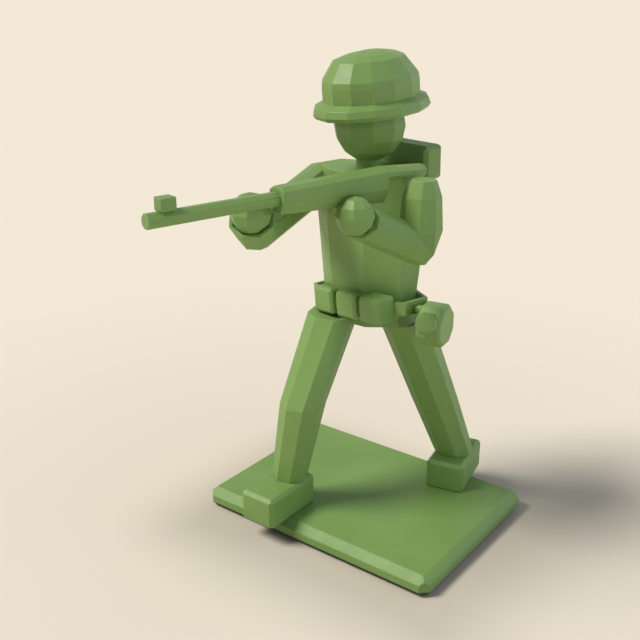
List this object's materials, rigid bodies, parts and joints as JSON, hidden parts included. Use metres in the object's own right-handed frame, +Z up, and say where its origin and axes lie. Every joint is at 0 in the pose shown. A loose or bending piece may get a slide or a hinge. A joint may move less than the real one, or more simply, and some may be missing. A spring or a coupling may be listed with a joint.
{
  "type": "toy soldier figure",
  "caption": "Standing toy soldier in moulded green plastic aims a rifle from an oblong ground plate, with ridged helmet, belt pouches, canteen and pack.",
  "frame": {"origin": "middle of the underside of the ground plate, on the surface it rests on", "axes": "+X to the figure's left along the plate's longer side, -Y the way the figure faces and aims, +Z up"},
  "size_m": [0.033, 0.0484, 0.0569],
  "materials": {
    "figure_green": "satin moulded"
  },
  "bodies": {
    "stand": {"base_plate": "figure_green", "right_boot": "figure_green", "left_boot": "figure_green", "right_leg": "figure_green", "left_leg": "figure_green", "pelvis": "figure_green"},
    "trunk": {"torso": "figure_green", "belt": "figure_green", "right_pouch": "figure_green", "middle_pouch": "figure_green", "left_pouch": "figure_green", "canteen": "figure_green", "canteen_cap": "figure_green", "pack": "figure_green", "right_arm": "figure_green", "left_arm": "figure_green", "right_hand": "figure_green", "left_hand": "figure_green"},
    "head": {"neck": "figure_green", "head": "figure_green"},
    "helmet": {"helmet": "figure_green"},
    "rifle": {"rifle_body": "figure_green", "rifle_butt": "figure_green", "rifle_barrel": "figure_green", "front_sight": "figure_green"}
  },
  "joints": [
    {"name": "waist_swivel", "type": "hinge", "parent": "stand", "child": "trunk", "pos_m": [0, 0, 0.026], "axis": [0, 0, 1], "continuous": true},
    {"name": "head_swivel", "type": "hinge", "parent": "trunk", "child": "head", "pos_m": [-0.00008, -0.00034, 0.0439], "axis": [0, 0, 1], "continuous": true},
    {"name": "helmet_lift", "type": "slide", "parent": "head", "child": "helmet", "axis": [0, 0, 1], "range_m": [0, 0.006]},
    {"name": "rifle_lift", "type": "slide", "parent": "trunk", "child": "rifle", "axis": [0, 0, 1], "range_m": [0, 0.003]}
  ]
}
